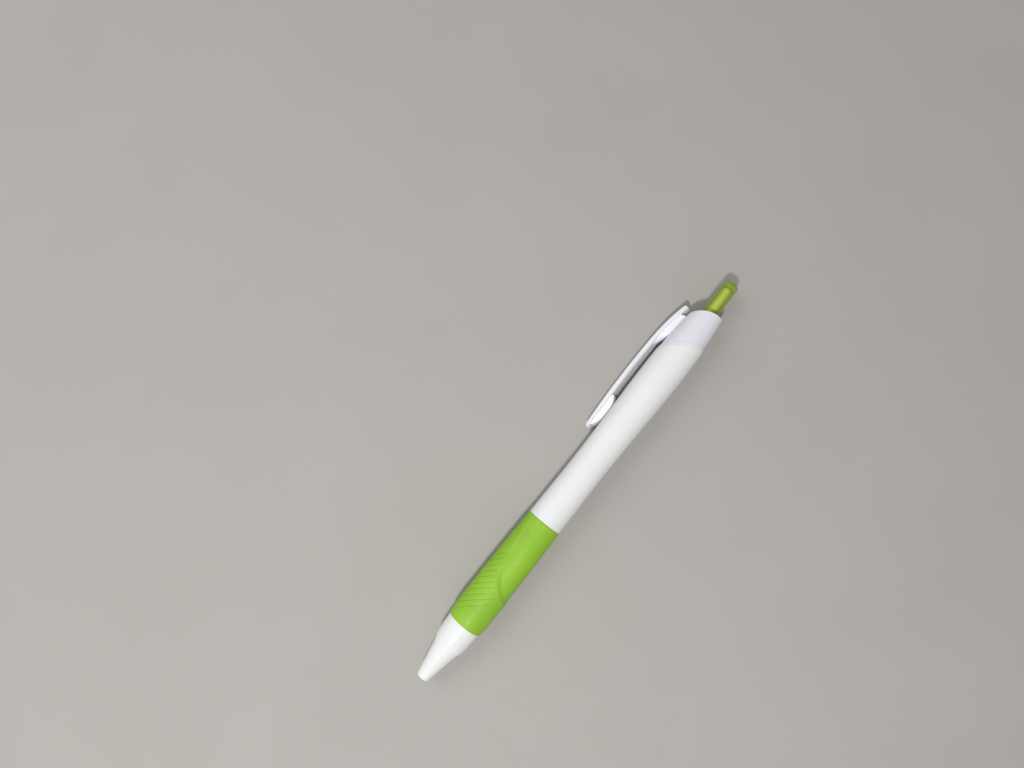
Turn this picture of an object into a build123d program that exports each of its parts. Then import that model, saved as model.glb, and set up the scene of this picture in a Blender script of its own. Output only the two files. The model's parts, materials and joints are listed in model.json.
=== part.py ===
"""Retractable ballpoint pen with a rubber grip, a side clip and a push button, in millimetres.

Every piece is drawn about the X axis, with x = 0 at the mouth of the nose cone, x growing towards the
push button, and the clip on the +Z side. The last step rolls the whole pen about its axis until the clip
touches the table beside the two bellies, and puts the origin under the middle of its bounding box.
"""

import os
from math import asin, atan2, cos, degrees, hypot, radians, sin

from build123d import *

# Driving dimensions of the outside
PEN_LENGTH = 140.0
BELLY_R = 5.6
WAIST_R = 4.93
WAIST_X = 71.0
GRIP_FRONT = 18.5
GRIP_BACK = 53.95
GRIP_FRONT_R = 5.2
GRIP_BACK_R = 5.22
GRIP_BELLY_X = 26.0
BARREL_FRONT_R = 5.12
BARREL_BELLY_X = 109.0
NOSE_MOUTH_R = 1.5
NOSE_KNEE_X = 9.9
NOSE_KNEE_R = 3.74
NOSE_BACK_R = 4.98

# The oblique joint between the barrel and the end cap, and the domed end of the cap
JOINT_X = 116.25
JOINT_SLOPE = 0.617
JOINT_GAP = 0.06
JOINT_BAND = 1.2
JOINT_BAND_DEPTH = 0.16
DOME_CENTRE_X = 109.8
DOME_CENTRE_Z = -8.5
DOME_R = 20.0
DOME_EDGE = 0.4

# Clip
CLIP_FREE_X = 82.3
CLIP_REAR_X = 127.0
CLIP_HALF_WIDTH = 2.1
CLIP_TIP_HALF_WIDTH = 1.8
CLIP_TOP = 8.95
CLIP_TOP_X = 104.0
CLIP_OUTER_EDGE = 0.8
CLIP_INNER_BEVEL = 0.6
CLIP_INNER_BEVEL_DEPTH = 0.4
PAD_X = 89.0
PAD_HALF_LENGTH = 5.4
PAD_HALF_WIDTH = 1.3
PAD_EDGE = 0.25
BARREL_SIDE = 5.35
WEB_FRONT = 112.8
WEB_REAR = 124.8
WEB_FRONT_EDGE = 1.2
ROOT_FRONT = 118.4
ROOT_REAR = 124.3
ROOT_HALF_WIDTH = 1.5
ROOT_BOTTOM = 4.15
ROOT_CLEARANCE = 0.15
POCKET_FLOOR = 3.85

# Push button and the cam mechanism
STROKE = 5.5
LATCH_DEPTH = 4.5
BUTTON_R = 2.22
BUTTON_WALL = 0.67
BUTTON_END_WALL = 2.1
BUTTON_CROWN = 1.0
BUTTON_FLAT_R = 1.3
BUTTON_FLANGE_R = 2.95
BUTTON_FLANGE_X = 119.0
BUTTON_FLANGE_WIDTH = 2.0
CAM_R = 2.3
SPLINE_R = 2.7
SPLINE_WIDTH_DEG = 20.0
GUIDE_RIB_WIDTH_DEG = 26.0
GUIDE_BORE_R = 2.78
GUIDE_R = 3.2
SPLINES = 4
TEETH = 8
TOOTH_HEIGHT = 0.9

# Refill, with its point drawn back inside the nose
REFILL_TIP_X = 1.5
REFILL_LENGTH = 98.1
REFILL_R = 2.95
REFILL_WALL = 0.3
NECK_R = 1.9
NECK_BACK = 20.8
SHOULDER_LENGTH = 2.8
TUBE_FRONT = 12.5
TAIL_LENGTH = 6.6
POINT_R = 1.17
POINT_GUIDE_BACK = 11.0
SHANK_R = 0.95
INK_BORE_R = 0.6
INK_BACK = 70.0
BALL_R = 0.5

# Return spring
WIRE_R = 0.175
COIL_R = 2.3
SPRING_FRONT = 7.7
SPRING_BACK = 22.2
COIL_PITCH = 1.6

# Fits
RUNNING_FIT = 0.08
SNUG_FIT = 0.05

REFILL_TAIL_X = REFILL_TIP_X + REFILL_LENGTH
ROTOR_BACK = REFILL_TAIL_X + 7.4
SPLINE_BACK = ROTOR_BACK - TOOTH_HEIGHT - 0.1
GUIDE_FRONT = SPLINE_BACK - LATCH_DEPTH
CROWN_FRONT = ROTOR_BACK + 0.1
NOSE_SPIGOT_BACK = 27.0
NOSE_SPIGOT_R = 3.9
NOSE_SPIGOT_BORE_R = 3.15
CORE_R = 4.5
CORE_SPIGOT_BACK = 62.0
CORE_BORE_R = 3.3
BARREL_BORE_R = 3.7
SOCKET_FRONT = 103.0
CAP_SPIGOT_FRONT = 104.0
CAP_SPIGOT_R = 4.2
CAP_BORE_R = GUIDE_R + SNUG_FIT
CAP_FRONT = 110.0
CAP_BACK = 131.0
BIG = 60.0


def turned(outer, inner):
    """A solid of revolution between two outlines of (x, radius), both running from front to back."""
    front = Line(outer @ 0, inner @ 0)
    back = Line(outer @ 1, inner @ 1)
    section = make_face(outer.edges() + inner.edges() + front.edges() + back.edges())
    return revolve(section, Axis.X)


def tube(front, back, outer_r, inner_r):
    """A plain tube about the pen's axis."""
    return turned(Line((front, outer_r), (back, outer_r)), Line((front, inner_r), (back, inner_r)))


def rod(front, back, radius):
    """A plain round bar about the pen's axis."""
    return extrude(Plane((front, 0, 0), z_dir=(1, 0, 0)) * Circle(radius), amount=back - front)


def wedge(front, back, inner_r, outer_r, width_deg, angle_deg):
    """One spline or rib: a sector of a ring, centred on an angle measured about the axis from +Y."""
    half = width_deg / 2
    reach = outer_r / cos(radians(half)) + 1
    corner = (reach * cos(radians(half)), reach * sin(radians(half)))
    sector = make_face(Polyline((0, 0), corner, (corner[0], -corner[1]), close=True))
    ring = Circle(outer_r) - Circle(inner_r)
    plane = Plane((front, 0, 0), x_dir=(0, 1, 0), z_dir=(1, 0, 0))
    return extrude(plane * (Rot(0, 0, angle_deg) * (ring & sector)), amount=back - front)


def splines(front, back, inner_r, outer_r, width_deg, start_deg):
    """Equally spaced splines or ribs all round."""
    step = 360 / SPLINES
    return [wedge(front, back, inner_r, outer_r, width_deg, start_deg + i * step) for i in range(SPLINES)]


def cut_teeth(body, face_x, facing):
    """V-shaped teeth cut all round into the end face of a round body; facing is +1 for the back end."""
    half_gap = CAM_R * sin(radians(180 / TEETH))
    valley = make_face(
        Polyline(
            (face_x - facing * TOOTH_HEIGHT, 0),
            (face_x + facing * 0.01, half_gap),
            (face_x + facing * 0.01, -half_gap),
            close=True,
        )
    )
    notch = extrude(valley, amount=CAM_R + 1)
    for i in range(TEETH):
        body -= Rot(i * 360 / TEETH, 0, 0) * notch
    return body


def slab(outline, half_width):
    """A closed side outline, in x and z, given a width to both sides."""
    return extrude(Plane.XZ.offset(-half_width) * make_face(outline), amount=2 * half_width)


def in_front_of_joint(gap):
    """Everything in front of the oblique joint plane between barrel and end cap, moved back by a gap."""
    lean = JOINT_SLOPE * BIG
    outline = Polyline(
        (-BIG, -BIG), (JOINT_X + gap + lean, -BIG), (JOINT_X + gap - lean, BIG), (-BIG, BIG), close=True
    )
    return slab(outline.edges(), BIG)


def nose_cone():
    """Front cone with the point's guide bore, the spring's seat and the spigot for the grip core."""
    mouth_bore = POINT_R + RUNNING_FIT
    lip = ThreePointArc((0, NOSE_MOUTH_R), (0.1, NOSE_MOUTH_R + 0.22), (0.35, NOSE_MOUTH_R + 0.33))
    cone = Line(lip @ 1, (NOSE_KNEE_X, NOSE_KNEE_R))
    swell = Spline(
        (NOSE_KNEE_X, NOSE_KNEE_R), (11.75, 4.38), (13.8, 4.72), (GRIP_FRONT, NOSE_BACK_R),
        tangents=[(1, 0.2), (1, 0.04)],
    )
    spigot = Polyline(
        (GRIP_FRONT, NOSE_BACK_R), (GRIP_FRONT, NOSE_SPIGOT_R), (NOSE_SPIGOT_BACK, NOSE_SPIGOT_R),
        (NOSE_SPIGOT_BACK, NOSE_SPIGOT_BORE_R),
    )
    neck_room = NECK_R + 0.15
    spring_room = COIL_R + WIRE_R + 0.27
    spring_seat = SPRING_FRONT - 0.2
    bore = Polyline(
        (0, NOSE_MOUTH_R), (0, mouth_bore), (4.5, mouth_bore), (4.8, neck_room), (spring_seat, neck_room),
        (spring_seat, spring_room), (14, spring_room), (15, NOSE_SPIGOT_BORE_R),
        (NOSE_SPIGOT_BACK, NOSE_SPIGOT_BORE_R),
    )
    outline = [*lip.edges(), *cone.edges(), *swell.edges(), *spigot.edges(), *bore.edges()]
    return revolve(make_face(outline), Axis.X)


def grip_core():
    """Stiff tube under the rubber: it takes the nose cone in front and screws into the barrel behind."""
    outer = Polyline(
        (GRIP_FRONT, CORE_R), (GRIP_BACK, CORE_R), (GRIP_BACK, NOSE_SPIGOT_R),
        (CORE_SPIGOT_BACK, NOSE_SPIGOT_R),
    )
    socket_r = NOSE_SPIGOT_R + SNUG_FIT
    socket_back = NOSE_SPIGOT_BACK + 0.2
    inner = Polyline(
        (GRIP_FRONT, socket_r), (socket_back, socket_r), (socket_back, CORE_BORE_R),
        (CORE_SPIGOT_BACK, CORE_BORE_R),
    )
    return turned(outer, inner)


def grip_sleeve():
    """Soft rubber sleeve, fullest in its front half."""
    outer = Spline(
        (GRIP_FRONT, GRIP_FRONT_R), (21.5, 5.51), (GRIP_BELLY_X, BELLY_R), (32, 5.585), (38, 5.55),
        (46, 5.42), (GRIP_BACK, GRIP_BACK_R), tangents=[(1, 0.13), (1, -0.03)],
    )
    return turned(outer, Line((GRIP_FRONT, CORE_R), (GRIP_BACK, CORE_R)))


def barrel():
    """Rear barrel: slim behind the grip, fullest under the clip, cut off obliquely at the end cap."""
    back = JOINT_X + 8
    outer = Spline(
        (GRIP_BACK, BARREL_FRONT_R), (62, 5.04), (WAIST_X, WAIST_R), (81.5, 5.06), (92, 5.32),
        (BARREL_BELLY_X, BELLY_R), (117, 5.42), (back, 5.0), tangents=[(1, -0.005), (1, -0.07)],
    )
    front_socket_r = NOSE_SPIGOT_R + SNUG_FIT
    front_socket_back = CORE_SPIGOT_BACK + 0.2
    rear_socket_r = CAP_SPIGOT_R + SNUG_FIT
    inner = Polyline(
        (GRIP_BACK, front_socket_r), (front_socket_back, front_socket_r),
        (front_socket_back, BARREL_BORE_R), (SOCKET_FRONT, BARREL_BORE_R),
        (SOCKET_FRONT, rear_socket_r), (back, rear_socket_r),
    )
    shell = turned(outer, inner) & in_front_of_joint(0)
    joint_face = shell.faces().filter_by(GeomType.PLANE).sort_by(Axis.X)[-1]
    rim = joint_face.edges().sort_by(lambda edge: edge.length)[-1]
    return chamfer(rim, JOINT_BAND_DEPTH, JOINT_BAND, reference=joint_face)


def cap_outline(clearance):
    """The end cap's side outline, as (x, radius), moved outwards by a clearance."""
    points = [
        (CAP_FRONT, 5.46), (113.5, 5.38), (117, 5.2), (120.5, 4.97), (124, 4.7), (127, 4.42),
        (CAP_BACK, 4.0),
    ]
    return Spline([(x, radius + clearance) for x, radius in points])


def inside_dome():
    """Everything in front of the cap's domed end face."""
    return slab((Pos(DOME_CENTRE_X, DOME_CENTRE_Z) * Circle(DOME_R)).edges(), BIG)


def end_cap():
    """Rear cap: a spigot inside the barrel, a pocket for the clip's root and the button's bearing hole."""
    shell = turned(cap_outline(0), Line((CAP_FRONT, 1), (CAP_BACK, 1)))
    body = (shell & inside_dome()) - in_front_of_joint(JOINT_GAP)
    body = fillet(body.edges().sort_by(Axis.X)[-1], DOME_EDGE)
    body += tube(CAP_SPIGOT_FRONT, JOINT_X + 4, CAP_SPIGOT_R, 1)
    flange_stop = BUTTON_FLANGE_X + BUTTON_FLANGE_WIDTH + 0.1
    body -= rod(CAP_SPIGOT_FRONT - 1, flange_stop, CAP_BORE_R)
    body -= rod(CAP_SPIGOT_FRONT - 1, PEN_LENGTH, BUTTON_R + RUNNING_FIT)
    pocket = Box(
        ROOT_REAR - ROOT_FRONT + 2 * ROOT_CLEARANCE, 2 * (ROOT_HALF_WIDTH + ROOT_CLEARANCE), BELLY_R,
        align=(Align.CENTER, Align.CENTER, Align.MIN),
    )
    return body - Pos((ROOT_FRONT + ROOT_REAR) / 2, 0, POCKET_FLOOR) * pocket


def clip_arm():
    """The long curved arm, thicker in the middle, with soft edges and a rounded free end."""
    top = Spline(
        (CLIP_FREE_X, 8.2), (89.3, 8.66), (97, 8.9), (CLIP_TOP_X, CLIP_TOP), (110, 8.89), (118, 8.5),
        (124, 7.6), (CLIP_REAR_X, 6.85),
    )
    under = Spline(
        (CLIP_FREE_X, 6.9), (89.3, 7.2), (97, 7.42), (CLIP_TOP_X, 7.5), (112, 7.34), (118, 7.02),
        (124, 6.12), (CLIP_REAR_X, 5.4),
    )
    ends = [Line(top @ 0, under @ 0), Line(top @ 1, under @ 1)]
    bar = slab([*top.edges(), *under.edges(), *ends[0].edges(), *ends[1].edges()], 2 * CLIP_HALF_WIDTH)
    one_side = [
        (CLIP_FREE_X, CLIP_TIP_HALF_WIDTH), (CLIP_TOP_X, CLIP_HALF_WIDTH), (CLIP_REAR_X, CLIP_HALF_WIDTH)
    ]
    other_side = [(x, -y) for x, y in reversed(one_side)]
    plan = make_face(Polyline(*one_side, *other_side, close=True))
    plan = fillet(plan.vertices().sort_by(Axis.X)[:2], 1.3)
    arm = bar & extrude(plan, amount=BIG)
    arm = fillet(arm.faces().sort_by(Axis.Z)[-1].edges(), CLIP_OUTER_EDGE)
    inner_face = arm.faces().filter_by(lambda face: face.normal_at().Z < -0.9)[0]
    long_edges = inner_face.edges().filter_by(GeomType.BSPLINE)
    return chamfer(long_edges, CLIP_INNER_BEVEL, CLIP_INNER_BEVEL_DEPTH, reference=inner_face)


def clip_pad():
    """The lens-shaped pad that presses on the barrel."""
    front, back = PAD_X - PAD_HALF_LENGTH, PAD_X + PAD_HALF_LENGTH
    bottom = Spline(
        (front, 6.95), (PAD_X - 3, BARREL_SIDE + 0.24), (PAD_X, BARREL_SIDE),
        (PAD_X + 3, BARREL_SIDE + 0.27), (back, 6.95),
    )
    inside_arm = Polyline(bottom @ 1, (back - 1, 7.35), (front + 1, 7.35), bottom @ 0)
    pad = slab([*bottom.edges(), *inside_arm.edges()], PAD_HALF_WIDTH)
    return fillet(pad.edges().filter_by(GeomType.BSPLINE), PAD_EDGE)


def clip_root():
    """The web that stands on the cap, round at the front, and the tab that sits in the cap's pocket."""
    ramp = Spline((WEB_FRONT, 7.3), (114.9, 6.45), (116.5, 5.6), (ROOT_FRONT - 0.4, 4.3))
    rest = Polyline(
        ramp @ 1, (WEB_REAR, 4.3), (WEB_REAR - 0.7, 5.8), (WEB_REAR - 1.3, 6.6), (WEB_FRONT + 1, 7.6),
        ramp @ 0,
    )
    web = slab([*ramp.edges(), *rest.edges()], ROOT_HALF_WIDTH)
    web = fillet(web.edges().filter_by(GeomType.BSPLINE), WEB_FRONT_EDGE)
    web -= turned(cap_outline(RUNNING_FIT), Line((CAP_FRONT, 0), (CAP_BACK, 0)))
    tab = Box(
        ROOT_REAR - ROOT_FRONT, 2 * ROOT_HALF_WIDTH, 6.2 - ROOT_BOTTOM,
        align=(Align.CENTER, Align.CENTER, Align.MIN),
    )
    return web + Pos((ROOT_FRONT + ROOT_REAR) / 2, 0, ROOT_BOTTOM) * tab


def clip():
    """Springy arm with a pad near its free end and a root that sits in the cap's pocket."""
    return clip_arm() + clip_pad() + clip_root()


def push_button():
    """Translucent hollow button with a rounded end and a flange that stops it inside the cap."""
    flange_back = BUTTON_FLANGE_X + BUTTON_FLANGE_WIDTH
    flange = Polyline(
        (BUTTON_FLANGE_X, BUTTON_FLANGE_R), (flange_back, BUTTON_FLANGE_R), (flange_back, BUTTON_R)
    )
    shaft = Line((flange_back, BUTTON_R), (PEN_LENGTH - BUTTON_CROWN, BUTTON_R))
    crown = ThreePointArc(shaft @ 1, (PEN_LENGTH - 0.27, BUTTON_R - 0.3), (PEN_LENGTH, BUTTON_FLAT_R))
    end = Line((PEN_LENGTH, BUTTON_FLAT_R), (PEN_LENGTH, 0))
    hollow_r = BUTTON_R - BUTTON_WALL
    hollow_back = PEN_LENGTH - BUTTON_END_WALL
    hollow = Polyline(
        (PEN_LENGTH, 0), (hollow_back, 0), (hollow_back, hollow_r), (BUTTON_FLANGE_X, hollow_r),
        (BUTTON_FLANGE_X, BUTTON_FLANGE_R),
    )
    outline = [*flange.edges(), *shaft.edges(), *crown.edges(), *end.edges(), *hollow.edges()]
    return revolve(make_face(outline), Axis.X)


def thrust_cam():
    """Stem inside the button and, in front, a splined crown of teeth that pushes the rotor round."""
    crown = cut_teeth(rod(CROWN_FRONT, CROWN_FRONT + 7, CAM_R), CROWN_FRONT, -1)
    stem = rod(CROWN_FRONT + 6.5, PEN_LENGTH - BUTTON_END_WALL - 0.2, BUTTON_R - BUTTON_WALL - SNUG_FIT)
    keys = splines(CROWN_FRONT + 1.5, CROWN_FRONT + 5, CAM_R - 0.4, SPLINE_R, SPLINE_WIDTH_DEG, 0)
    return crown + stem + keys


def rotor():
    """Indexing cam between the thrust cam and the refill's tail."""
    body = cut_teeth(rod(REFILL_TAIL_X, ROTOR_BACK, CAM_R), ROTOR_BACK, 1)
    return body + splines(SPLINE_BACK - 3.5, SPLINE_BACK, CAM_R - 0.4, SPLINE_R, SPLINE_WIDTH_DEG, 0)


def cam_guide():
    """Fixed sleeve whose ribs hold the rotor's splines drawn back between them, or latched in front."""
    back = GUIDE_FRONT + 11
    rib_r = CAM_R + RUNNING_FIT
    ribs = splines(GUIDE_FRONT, back, rib_r, GUIDE_R - 0.1, GUIDE_RIB_WIDTH_DEG, 180 / SPLINES)
    return tube(GUIDE_FRONT, back, GUIDE_R, GUIDE_BORE_R) + ribs


def return_spring():
    """Helical steel spring round the refill's neck."""
    path = Helix(
        pitch=COIL_PITCH, height=SPRING_BACK - SPRING_FRONT - 2 * WIRE_R, radius=COIL_R,
        center=(SPRING_FRONT + WIRE_R, 0, 0), direction=(1, 0, 0),
    )
    section = Plane(origin=path @ 0, z_dir=path % 0) * Circle(WIRE_R)
    return sweep(section, path=path, is_frenet=True)


def point_socket():
    """Metal point: a cone that holds the ball, a straight guide and a shank pressed into the holder."""
    rim_x = REFILL_TIP_X + 0.62
    shank_front = REFILL_TIP_X + POINT_GUIDE_BACK
    shank_back = shank_front + 3
    seat_r = BALL_R + 0.02
    channel_r = 0.25
    outer = Polyline(
        (rim_x, seat_r + 0.01), (REFILL_TIP_X + 3, POINT_R), (shank_front, POINT_R), (shank_front, SHANK_R),
        (shank_back, SHANK_R),
    )
    inner = Polyline(
        (rim_x, seat_r), (REFILL_TIP_X + 1.05, seat_r), (REFILL_TIP_X + 1.1, channel_r),
        (REFILL_TIP_X + 3, channel_r), (REFILL_TIP_X + 3.2, INK_BORE_R), (shank_back, INK_BORE_R),
    )
    return turned(outer, inner)


def writing_ball():
    """Hard metal ball that rolls in the point."""
    return Pos(REFILL_TIP_X + BALL_R, 0, 0) * Sphere(BALL_R)


def point_holder():
    """Plastic adapter between the metal point and the refill's neck."""
    front = REFILL_TIP_X + POINT_GUIDE_BACK
    collar_back = REFILL_TIP_X + TUBE_FRONT
    plug_r = NECK_R - REFILL_WALL - SNUG_FIT
    socket_r = SHANK_R + 0.02
    outer = Polyline((front, NECK_R), (collar_back, NECK_R), (collar_back, plug_r), (front + 6, plug_r))
    inner = Polyline(
        (front, socket_r), (front + 3, socket_r), (front + 3.2, INK_BORE_R), (front + 6, INK_BORE_R)
    )
    return turned(outer, inner)


def refill_tube():
    """Metal ink tube: slim neck in front, conical shoulder for the spring, full bore behind."""
    front = REFILL_TIP_X + TUBE_FRONT
    neck_back = REFILL_TIP_X + NECK_BACK
    full = neck_back + SHOULDER_LENGTH
    back = REFILL_TAIL_X - TAIL_LENGTH
    outer = Polyline((front, NECK_R), (neck_back, NECK_R), (full, REFILL_R), (back, REFILL_R))
    inner = Polyline(
        (front, NECK_R - REFILL_WALL), (neck_back, NECK_R - REFILL_WALL), (full, REFILL_R - REFILL_WALL),
        (back, REFILL_R - REFILL_WALL),
    )
    return turned(outer, inner)


def ink_column():
    """The paste ink that fills the tube from the point holder to the follower."""
    film = REFILL_WALL + 0.03
    front = REFILL_TIP_X + 17.1
    neck_back = REFILL_TIP_X + NECK_BACK
    outline = Polyline(
        (front, 0), (front, NECK_R - film), (neck_back, NECK_R - film),
        (neck_back + SHOULDER_LENGTH, REFILL_R - film), (INK_BACK, REFILL_R - film), (INK_BACK, 0),
        close=True,
    )
    return revolve(make_face(outline), Axis.X)


def follower_plug():
    """Clear grease that follows the ink and keeps it from drying."""
    return rod(INK_BACK + 0.05, INK_BACK + 5, REFILL_R - REFILL_WALL - 0.03)


def tail_plug():
    """Vented plug in the refill's tail, with the collar that meets the rotor."""
    seat = REFILL_TAIL_X - TAIL_LENGTH
    plug_r = REFILL_R - REFILL_WALL - 0.02
    collar_r = 2.1
    outer = Polyline(
        (seat - 5, plug_r), (seat, plug_r), (seat, REFILL_R), (seat + 1.6, REFILL_R),
        (seat + 2.4, collar_r), (REFILL_TAIL_X, collar_r),
    )
    return turned(outer, Line((seat - 5, 0.5), (REFILL_TAIL_X, 0.5)))


def resting_place():
    """Lays the pen on its side, clip towards +Y and touching the table, origin under its box's middle."""
    edge_across = CLIP_HALF_WIDTH - CLIP_OUTER_EDGE
    edge_up = CLIP_TOP - CLIP_OUTER_EDGE
    drop = asin((BELLY_R - CLIP_OUTER_EDGE) / hypot(edge_up, edge_across))
    roll = drop - atan2(edge_across, edge_up)
    clip_side = edge_up * cos(roll) + edge_across * sin(roll) + CLIP_OUTER_EDGE
    axis_y = (BELLY_R - clip_side) / 2
    return Pos(-PEN_LENGTH / 2, axis_y, BELLY_R) * Rot(-90 - degrees(roll), 0, 0)


PIECES = [
    nose_cone, grip_core, grip_sleeve, barrel, end_cap, clip,
    push_button, thrust_cam, rotor, cam_guide, return_spring,
    refill_tube, point_holder, point_socket, writing_ball, ink_column, follower_plug, tail_plug,
]

os.makedirs("parts", exist_ok=True)
for piece in PIECES:
    placed = resting_place() * piece()
    placed.label = piece.__name__
    export_step(placed, f"parts/{piece.__name__}.step")
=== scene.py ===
import json
import math

import bpy
import numpy as np
from mathutils import Matrix, Vector


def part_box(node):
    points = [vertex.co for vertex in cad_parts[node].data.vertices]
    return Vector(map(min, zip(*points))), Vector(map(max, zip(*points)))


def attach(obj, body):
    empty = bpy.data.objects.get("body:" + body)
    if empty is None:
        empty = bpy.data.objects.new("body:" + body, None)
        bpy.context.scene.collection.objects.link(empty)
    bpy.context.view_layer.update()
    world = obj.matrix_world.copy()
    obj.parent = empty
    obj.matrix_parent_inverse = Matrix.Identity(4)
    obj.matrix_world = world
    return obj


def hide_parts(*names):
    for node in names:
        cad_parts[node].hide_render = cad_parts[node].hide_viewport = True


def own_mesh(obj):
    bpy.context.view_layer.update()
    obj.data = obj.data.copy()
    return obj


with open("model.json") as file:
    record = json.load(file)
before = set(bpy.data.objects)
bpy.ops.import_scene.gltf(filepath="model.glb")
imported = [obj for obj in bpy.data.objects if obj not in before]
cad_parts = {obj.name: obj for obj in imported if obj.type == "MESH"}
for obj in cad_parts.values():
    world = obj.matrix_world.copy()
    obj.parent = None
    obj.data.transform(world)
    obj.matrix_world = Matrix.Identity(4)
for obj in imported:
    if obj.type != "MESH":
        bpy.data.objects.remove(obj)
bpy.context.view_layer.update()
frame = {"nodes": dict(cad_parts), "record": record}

MM = 0.001


# ---------------------------------------------------------------- the pen's own axis, read from the frame

def middle(node):
    """Centre of a CAD node's box."""
    low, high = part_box(node)
    return (low + high) / 2


TIP_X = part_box("nose_cone")[0].x
AXIS_Y = middle("barrel").y
AXIS_Z = middle("barrel").z


def reach(node):
    """Where a CAD node begins and ends along the pen, in millimetres behind the tip."""
    return [corner.x / MM - TIP_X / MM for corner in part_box(node)]


# ---------------------------------------------------------------- materials

# The Mix node's colour sockets by number, because its sockets for other kinds of data share their names.
MIX_FIRST = 6
MIX_SECOND = 7
MIX_RESULT = 2


class Look:
    """A node material with a Principled shader and short helpers to add nodes to it."""

    def __init__(self, name, colour, roughness, **sockets):
        self.material = bpy.data.materials.new(name)
        self.material.use_nodes = True
        self.tree = self.material.node_tree
        self.shader = self.tree.nodes["Principled BSDF"]
        self.shader.inputs["Base Color"].default_value = (*colour, 1)
        self.shader.inputs["Roughness"].default_value = roughness
        for socket, value in sockets.items():
            self.shader.inputs[socket.replace("_", " ")].default_value = value
        self.where = self.tree.nodes.new("ShaderNodeTexCoord").outputs["Object"]

    def node(self, kind, **settings):
        made = self.tree.nodes.new(kind)
        for key, value in settings.items():
            setattr(made, key, value)
        return made

    def link(self, output, target):
        self.tree.links.new(output, target)

    def noise(self, per_metre, detail=3.0, roughness=0.55, stretch=(1, 1, 1)):
        """Noise whose grains number about so many per metre."""
        mapping = self.node("ShaderNodeMapping")
        mapping.inputs["Scale"].default_value = stretch
        self.link(self.where, mapping.inputs["Vector"])
        noise = self.node("ShaderNodeTexNoise")
        noise.inputs["Scale"].default_value = per_metre
        noise.inputs["Detail"].default_value = detail
        noise.inputs["Roughness"].default_value = roughness
        self.link(mapping.outputs["Vector"], noise.inputs["Vector"])
        return noise.outputs["Fac"]

    def ramp(self, value, low, high, from_low=0.3, from_high=0.7):
        """A value remapped to low..high, from noise's usual range unless another is given."""
        remap = self.node("ShaderNodeMapRange")
        remap.inputs["From Min"].default_value = from_low
        remap.inputs["From Max"].default_value = from_high
        remap.inputs["To Min"].default_value = low
        remap.inputs["To Max"].default_value = high
        self.link(value, remap.inputs["Value"])
        return remap.outputs["Result"]

    def colour_varies(self, value, first, second):
        """Base colour that wanders between two colours as a noise does."""
        mix = self.node("ShaderNodeMix", data_type="RGBA")
        self.link(self.ramp(value, 0, 1), mix.inputs["Factor"])
        mix.inputs[MIX_FIRST].default_value = (*first, 1)
        mix.inputs[MIX_SECOND].default_value = (*second, 1)
        self.link(mix.outputs[MIX_RESULT], self.shader.inputs["Base Color"])

    def roughness_varies(self, value, smoothest, roughest):
        """Roughness that wanders between two values as a noise does."""
        self.link(self.ramp(value, smoothest, roughest), self.shader.inputs["Roughness"])

    def bumps(self, height, distance_mm):
        bump = self.node("ShaderNodeBump")
        bump.inputs["Distance"].default_value = distance_mm * MM
        self.link(height, bump.inputs["Height"])
        self.link(bump.outputs["Normal"], self.shader.inputs["Normal"])


def scale(colour, factor):
    """The same hue, lighter or darker."""
    return tuple(min(1.0, c * factor) for c in colour)


WHITE = (0.78, 0.79, 0.78)
CAP_WHITE = (0.75, 0.745, 0.80)
PEARL = (0.83, 0.835, 0.87)
GREEN = (0.275, 0.515, 0.03)
BUTTON_TINT = (0.29, 0.40, 0.012)
STEM_YELLOW = (0.97, 0.99, 0.22)
GUIDE_WHITE = (0.80, 0.80, 0.77)
GUIDE_SHADE = (0.76, 0.76, 0.73)
REFILL_BLACK = (0.03, 0.03, 0.032)
REFILL_GREY = (0.045, 0.045, 0.05)
INK_BLUE = (0.01, 0.02, 0.25)
INK_DEEP = (0.005, 0.01, 0.15)
GREASE = (0.8, 0.76, 0.5)
PAPER = (0.405, 0.385, 0.36)
PAPER_SHADE = (0.39, 0.37, 0.345)

PEEL_MM = 0.35  # grain of the orange peel

# The button's opacity rises from face on to edge on over a stretch of "Facing", and again at its solid end.
TINT_FACE_ON = 0.18
TINT_EDGE_ON = 0.92
EDGE_STARTS = 0.1
EDGE_FULL = 0.72
TINT_BEFORE_END = 0.1
TINT_SOLID = 0.65
SOLID_STARTS_X = 0.0673
SOLID_FULL_X = 0.0679


def moulded(name, colour, shade, roughness, **sockets):
    """Moulded plastic: very fine orange peel, faint handling marks and a slight change of shade."""
    look = Look(name, colour, roughness, **sockets)
    broad = look.noise(90, detail=2)
    peel = look.noise(1000 / PEEL_MM, detail=2)
    scuffs = look.noise(700, detail=5, roughness=0.7, stretch=(0.25, 1, 1))
    look.colour_varies(broad, colour, shade)
    look.roughness_varies(scuffs, roughness * 0.8, roughness * 1.35)
    look.bumps(peel, 0.004)
    return look.material


def white_plastic():
    return moulded("white_plastic", WHITE, scale(WHITE, 0.97), 0.36, Specular_IOR_Level=0.2)


def cap_plastic():
    return moulded("cap_plastic", CAP_WHITE, scale(CAP_WHITE, 0.96), 0.26, Coat_Weight=0.3)


def clip_plastic():
    return moulded("clip_plastic", PEARL, scale(PEARL, 0.95), 0.22, Coat_Weight=0.25)


def cam_plastic():
    return moulded("cam_plastic", STEM_YELLOW, scale(STEM_YELLOW, 0.93), 0.4)


def guide_plastic():
    return moulded("guide_plastic", GUIDE_WHITE, GUIDE_SHADE, 0.45)


def refill_plastic():
    return moulded("refill_plastic", REFILL_BLACK, REFILL_GREY, 0.4)


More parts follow.
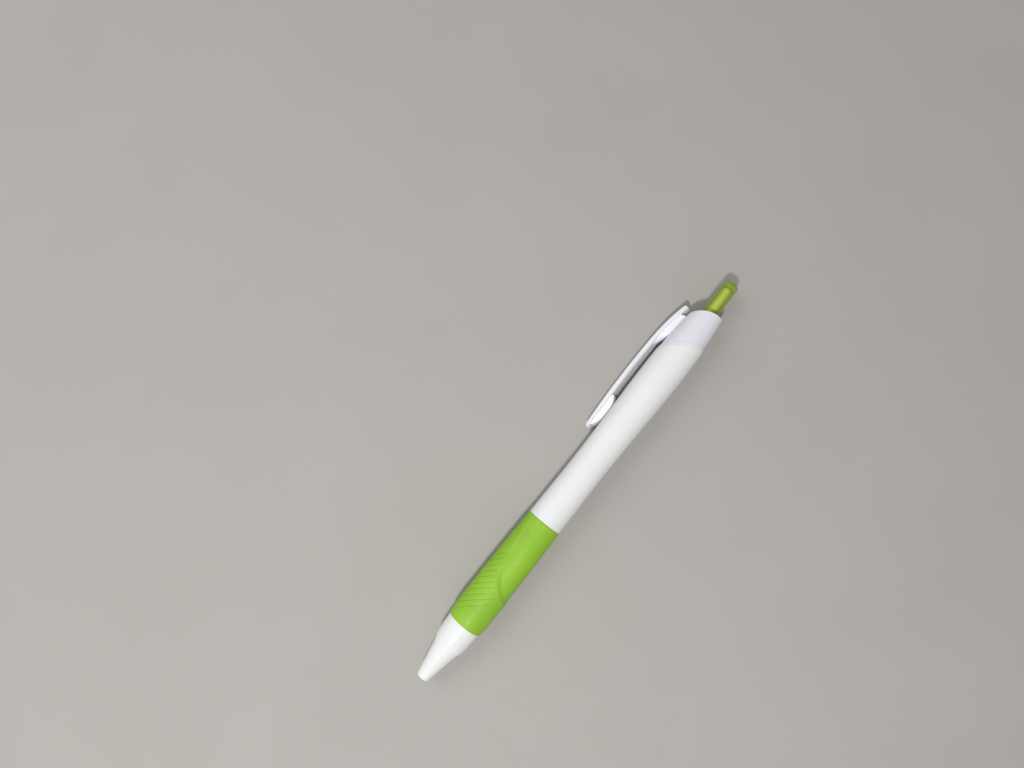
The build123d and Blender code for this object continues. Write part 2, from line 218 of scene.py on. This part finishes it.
def green_rubber():
    """Matte silicone rubber with a fine tooth and darker marks where dust and skin oil settle."""
    look = Look("green_rubber", GREEN, 0.5, Specular_IOR_Level=0.35)
    broad = look.noise(120, detail=3)
    tooth = look.noise(5200, detail=2)
    look.colour_varies(broad, GREEN, scale(GREEN, 0.9))
    look.roughness_varies(look.noise(900, detail=4), 0.42, 0.6)
    look.bumps(tooth, 0.012)
    return look.material


def button_plastic():
    """Clear tinted plastic that the stem shows through, deeper in colour at its edges and solid end."""
    look = Look("button_plastic", BUTTON_TINT, 0.1, IOR=1.49, Coat_Weight=0.2)
    look.colour_varies(look.noise(400, detail=3), BUTTON_TINT, scale(BUTTON_TINT, 0.85))
    look.roughness_varies(look.noise(900, detail=4), 0.06, 0.18)
    look.bumps(look.noise(2500, detail=2), 0.003)
    edge_on = look.node("ShaderNodeLayerWeight").outputs["Facing"]
    edge_tint = look.ramp(edge_on, TINT_FACE_ON, TINT_EDGE_ON, EDGE_STARTS, EDGE_FULL)
    place = look.node("ShaderNodeSeparateXYZ")
    look.link(look.where, place.inputs["Vector"])
    end_tint = look.ramp(place.outputs["X"], TINT_BEFORE_END, TINT_SOLID, SOLID_STARTS_X, SOLID_FULL_X)
    deeper = look.node("ShaderNodeMath", operation="MAXIMUM")
    look.link(edge_tint, deeper.inputs[0])
    look.link(end_tint, deeper.inputs[1])
    look.link(deeper.outputs["Value"], look.shader.inputs["Alpha"])
    return look.material


def metal(name, colour, roughness, drawn_along_axis=True):
    """Drawn or turned metal: fine lines along the axis or round it."""
    look = Look(name, colour, roughness, Metallic=1.0)
    stretch = (0.02, 1, 1) if drawn_along_axis else (1, 0.02, 0.02)
    lines = look.noise(9000, detail=3, stretch=stretch)
    look.colour_varies(lines, colour, scale(colour, 0.85))
    look.roughness_varies(lines, roughness * 0.8, roughness * 1.4)
    look.bumps(lines, 0.002)
    return look.material


def blue_ink():
    look = Look("blue_ink", INK_BLUE, 0.2)
    look.colour_varies(look.noise(300), INK_BLUE, INK_DEEP)
    look.bumps(look.noise(1500), 0.01)
    return look.material


def clear_grease():
    look = Look("clear_grease", GREASE, 0.15, Transmission_Weight=0.7)
    look.roughness_varies(look.noise(800), 0.1, 0.25)
    look.bumps(look.noise(1200), 0.02)
    return look.material


def floor_paper():
    look = Look("floor_paper", PAPER, 0.75)
    look.colour_varies(look.noise(25), PAPER, PAPER_SHADE)
    look.bumps(look.noise(2500, detail=2), 0.01)
    return look.material


LOOKS = {
    "white_plastic": white_plastic(),
    "cap_plastic": cap_plastic(),
    "clip_plastic": clip_plastic(),
    "green_rubber": green_rubber(),
    "button_plastic": button_plastic(),
    "cam_plastic": cam_plastic(),
    "guide_plastic": guide_plastic(),
    "refill_plastic": refill_plastic(),
    "spring_steel": metal("spring_steel", (0.62, 0.62, 0.64), 0.25),
    "refill_metal": metal("refill_metal", (0.70, 0.70, 0.72), 0.3),
    "nickel_silver": metal("nickel_silver", (0.72, 0.68, 0.56), 0.22, drawn_along_axis=False),
    "hard_ball": metal("hard_ball", (0.5, 0.5, 0.52), 0.08, drawn_along_axis=False),
    "blue_ink": blue_ink(),
    "clear_grease": clear_grease(),
}


def paint(obj, material):
    obj.data.materials.clear()
    obj.data.materials.append(material)


def add_object(name, data):
    made = bpy.data.objects.new(name, data)
    bpy.context.scene.collection.objects.link(made)
    return made


# ---------------------------------------------------------------- floor, lights and camera

FLOOR_HALF = 1.6


def floor():
    corners = [(-FLOOR_HALF, -FLOOR_HALF, 0), (FLOOR_HALF, -FLOOR_HALF, 0)]
    corners += [(FLOOR_HALF, FLOOR_HALF, 0), (-FLOOR_HALF, FLOOR_HALF, 0)]
    mesh = bpy.data.meshes.new("floor")
    mesh.from_pydata(corners, [], [(0, 1, 2, 3)])
    ground = add_object("floor", mesh)
    paint(ground, floor_paper())


def area_light(name, place, size, power, colour):
    """A round soft light in metres and watts that looks at the middle of the pen."""
    data = bpy.data.lights.new(name, "AREA")
    data.shape = "DISK"
    data.size = size
    data.energy = power
    data.color = colour
    light = add_object(name, data)
    light.location = place
    light.rotation_mode = "QUATERNION"
    light.rotation_quaternion = (-Vector(place)).to_track_quat("-Z", "Y")


def lights():
    """A bright room, a small light high in front of the nose and a broad soft one on the clip's side."""
    world = bpy.data.worlds.new("studio")
    world.use_nodes = True
    background = world.node_tree.nodes["Background"]
    background.inputs["Color"].default_value = (0.97, 0.985, 1.0, 1)
    background.inputs["Strength"].default_value = 0.41
    bpy.context.scene.world = world
    area_light("key", place=(-0.27, -0.03, 0.53), size=0.067, power=2.1, colour=(1.0, 0.995, 0.98))
    area_light("window", place=(0.0, 0.60, 0.65), size=0.6, power=2.1, colour=(0.96, 0.98, 1.0))
    bpy.context.scene.view_settings.view_transform = "Standard"


def camera():
    """A phone held 220 mm above the pen, looking almost straight down, with the pen at a slant."""
    place = Vector((-4.093, 23.332, 221.992)) * MM
    looks_at = Vector((8.375, 29.666, 5.6)) * MM
    heading = math.radians(38.726)
    forward = (looks_at - place).normalized()
    right = forward.cross(Vector((math.cos(heading), math.sin(heading), 0))).normalized()
    up = right.cross(forward)
    data = bpy.data.cameras.new("camera")
    data.sensor_width = 36
    data.lens = 27.07
    data.clip_start = 0.01
    eye = add_object("camera", data)
    eye.matrix_world = Matrix((right, up, -forward)).transposed().to_4x4()
    eye.location = place
    bpy.context.scene.camera = eye


# ---------------------------------------------------------------- round meshes

def place_in_frame(along, radius, angle):
    """Frame coordinates from millimetres behind the tip and off the axis, and an angle from the top."""
    x = TIP_X + along * MM
    y = AXIS_Y + radius * MM * np.sin(angle)
    z = AXIS_Z + radius * MM * np.cos(angle)
    return np.stack(np.broadcast_arrays(x, y, z), axis=-1)


def band(here, there, around):
    """Four-sided faces between two rings of points, given by the numbers of their first points."""
    faces = []
    for j in range(around):
        k = (j + 1) % around
        faces.append((here + j, there + j, there + k, here + k))
    return faces


def smooth_mesh(name, points, faces):
    """A mesh whose four-sided faces are shaded smooth."""
    mesh = bpy.data.meshes.new(name)
    mesh.from_pydata(points.reshape(-1, 3).tolist(), [], faces)
    mesh.polygons.foreach_set("use_smooth", [len(face) == 4 for face in faces])
    return mesh


# ---------------------------------------------------------------- grip, in millimetres and radians

GRIP_FRONT, GRIP_BACK = reach("grip_sleeve")
GRIP_INNER_R = 4.5
GRIP_BELLY = 26.0
GRIP_BELLY_R = 5.585
FRONT_TAPER = 0.4
FRONT_TAPER_POWER = 2.9
BACK_TAPER = 0.38
BACK_TAPER_POWER = 2.2
GRIP_LIP = 0.25
LIP_TURNS = np.radians([90, 67, 45, 22])

# The pattern takes half a turn, comes twice round the sleeve, and fades at its ends.
PATTERN_START = math.radians(95)
PATTERN_FADES_IN = np.radians([-94, -84])
STEP_FADES_OUT = np.radians([18, 62])
GROOVES_FADE_OUT = np.radians([62, 84])

# The step starts this far behind the tip, bends at this angle, climbs in proportion and then sweeps back.
STEP_START = 30
STEP_BEND = -0.65
STEP_BEND_WIDTH = 0.2
STEP_CLIMB = 1.1
STEP_SWEEP = 18
STEP_SWEEP_SLOPE = 6.5
STEP_DEPTH = 0.40
STEP_HALF_WIDTH = 0.9
STEP_RECOVERY = 0.85
RECOVERY_REACH = (1, 14)

# The grooves lean by so many millimetres per radian, and each has a shallow bevel behind it.
FIRST_GROOVE = 26.35
GROOVE_PITCH = 2.06
GROOVE_COUNT = 10
GROOVE_LEAN = -4.73
GROOVE_HALF_WIDTH = 0.15
GROOVE_DEPTH = 0.15
GROOVES_STOP_BEFORE_STEP = (0.6, 1.1)
BEVEL_SHARE = 0.4
BEVEL_REACH = 0.6 * GROOVE_PITCH

GRIP_AROUND = 400
FINE_ROWS_END = 43
FINE_ROW = 0.085
COARSE_ROWS = 45


def smooth(value, low, high):
    """0 below low, 1 above high, and a smooth rise between."""
    part = np.clip((value - low) / (high - low), 0, 1)
    return part * part * (3 - 2 * part)


def grip_outline(along):
    """Radius of the sleeve before its sculpting, a hair inside the CAD sleeve."""
    front = np.clip((GRIP_BELLY - along) / (GRIP_BELLY - GRIP_FRONT), 0, 1)
    back = np.clip((along - GRIP_BELLY) / (GRIP_BACK - GRIP_BELLY), 0, 1)
    return GRIP_BELLY_R - FRONT_TAPER * front ** FRONT_TAPER_POWER - BACK_TAPER * back ** BACK_TAPER_POWER


def step_line(angle):
    """Where the sculpted step runs: square across one flank, then ever faster along the pen."""
    climb = STEP_CLIMB * np.log1p(np.exp((angle - STEP_BEND) / STEP_BEND_WIDTH))
    return STEP_START + climb + STEP_SWEEP * np.clip(angle, 0, None) ** 2


def step_slope(angle):
    """Millimetres the step moves along the pen per millimetre round it, nearly."""
    climb = 1 / (1 + np.exp((STEP_BEND - angle) / STEP_BEND_WIDTH))
    return climb + STEP_SWEEP_SLOPE * np.clip(angle, 0, None)


def sculpting(along, angle):
    """Depth below the plain outline: slanted grooves in front of a curved step, twice round the sleeve."""
    turn = (angle + PATTERN_START) % math.pi - PATTERN_START
    past_step = along - step_line(turn)
    behind = past_step / np.hypot(1, step_slope(turn))
    starts = smooth(turn, *PATTERN_FADES_IN)
    step = smooth(behind, -STEP_HALF_WIDTH, STEP_HALF_WIDTH) * (1 - smooth(turn, *STEP_FADES_OUT))
    step = step * (1 - STEP_RECOVERY * smooth(past_step, *RECOVERY_REACH))
    unrolled = along - GROOVE_LEAN * turn - FIRST_GROOVE
    nearest = np.clip(np.round(unrolled / GROOVE_PITCH), 0, GROOVE_COUNT - 1)
    off = unrolled - nearest * GROOVE_PITCH
    groove = np.exp(-((off / GROOVE_HALF_WIDTH) ** 2))
    bevel = BEVEL_SHARE * np.clip(1 - off / BEVEL_REACH, 0, 1) * (off > 0)
    grooves = (groove + bevel * (1 - groove)) * (1 - smooth(turn, *GROOVES_FADE_OUT))
    grooves = grooves * smooth(-behind, *GROOVES_STOP_BEFORE_STEP)
    return (STEP_DEPTH * step + GROOVE_DEPTH * grooves) * starts


def rows_along():
    """Stations along the sleeve, close together where the grooves are."""
    fine = np.arange(GRIP_FRONT + GRIP_LIP, FINE_ROWS_END, FINE_ROW)
    coarse = np.linspace(FINE_ROWS_END, GRIP_BACK - GRIP_LIP, COARSE_ROWS)
    return np.concatenate([fine, coarse])


def lip(end, inward, radius):
    """Rings of a rounded lip, from its end face inward along the sleeve."""
    rings = []
    for turn in LIP_TURNS:
        along = end + inward * GRIP_LIP * (1 - math.sin(turn))
        rings.append((along, radius - GRIP_LIP * (1 - math.cos(turn))))
    return rings


def grip_rings(angle):
    """Rings of the sleeve as (place along it, radii): inner face, lip, outside, lip, inner face."""
    front = lip(GRIP_FRONT, 1, grip_outline(GRIP_FRONT + GRIP_LIP))
    outside = [(along, grip_outline(along) - sculpting(along, angle)) for along in rows_along()]
    back = lip(GRIP_BACK, -1, outside[-1][1])[::-1]
    return [(GRIP_FRONT, GRIP_INNER_R)] + front + outside + back + [(GRIP_BACK, GRIP_INNER_R)]


def grip_mesh():
    """The sleeve as one closed surface."""
    angle = np.linspace(0, 2 * math.pi, GRIP_AROUND, endpoint=False)
    rings = grip_rings(angle)
    points = [place_in_frame(along, radius, angle) for along, radius in rings]
    faces = []
    for i in range(len(rings)):
        following = (i + 1) % len(rings)
        faces += band(i * GRIP_AROUND, following * GRIP_AROUND, GRIP_AROUND)
    return smooth_mesh("grip", np.concatenate(points), faces)


def grip():
    """Soft grip with slanted grooves that run into a curved step."""
    sleeve = add_object("grip", grip_mesh())
    paint(sleeve, LOOKS["green_rubber"])
    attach(sleeve, "housing")
    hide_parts("grip_sleeve")


# ---------------------------------------------------------------- return spring, in millimetres

SPRING_WIRE_R = 0.175
SPRING_COIL_R = 2.3
SPRING_TURNS = 10.5
CLOSED_TURNS = 1.0
CLOSED_PITCH = 2.2 * SPRING_WIRE_R
STATIONS_PER_TURN = 40
WIRE_AROUND = 14


def spring_path():
    """Centre line of the wire, open coils between closed end coils: places along the pen and angles."""
    front, back = reach("return_spring")
    start = front + SPRING_WIRE_R
    end = back - SPRING_WIRE_R
    closed = CLOSED_PITCH * CLOSED_TURNS
    turns = np.linspace(0, SPRING_TURNS, int(SPRING_TURNS * STATIONS_PER_TURN))
    pitch_changes = [0, CLOSED_TURNS, SPRING_TURNS - CLOSED_TURNS, SPRING_TURNS]
    along = np.interp(turns, pitch_changes, [start, start + closed, end - closed, end])
    return along, turns * 2 * math.pi


def spring_mesh():
    """The wire as one closed surface round its centre line."""
    along, angle = spring_path()
    section = np.linspace(0, 2 * math.pi, WIRE_AROUND, endpoint=False)
    wire_along = along[:, None] + SPRING_WIRE_R * np.sin(section)
    wire_radius = SPRING_COIL_R + SPRING_WIRE_R * np.cos(section)
    points = place_in_frame(wire_along, wire_radius, angle[:, None])
    last = (len(along) - 1) * WIRE_AROUND
    faces = [tuple(range(WIRE_AROUND))[::-1], tuple(range(last, last + WIRE_AROUND))]
    for here in range(0, last, WIRE_AROUND):
        faces += band(here + WIRE_AROUND, here, WIRE_AROUND)
    return smooth_mesh("spring", points, faces)


def spring():
    """Return spring, built at one length; the real one shortens towards its seat in the nose as the refill
    comes forward.
    """
    coil = add_object("spring", spring_mesh())
    paint(coil, LOOKS["spring_steel"])
    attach(coil, "housing")
    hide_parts("return_spring")
    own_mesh(coil)


# ---------------------------------------------------------------- the pieces that stay as the CAD has them

def paint_cad_nodes():
    slots = {part["node"]: part["material_slot"] for part in frame["record"]["subparts"]}
    for name, node in frame["nodes"].items():
        paint(node, LOOKS[slots[name]])


floor()
lights()
camera()
paint_cad_nodes()
grip()
spring()
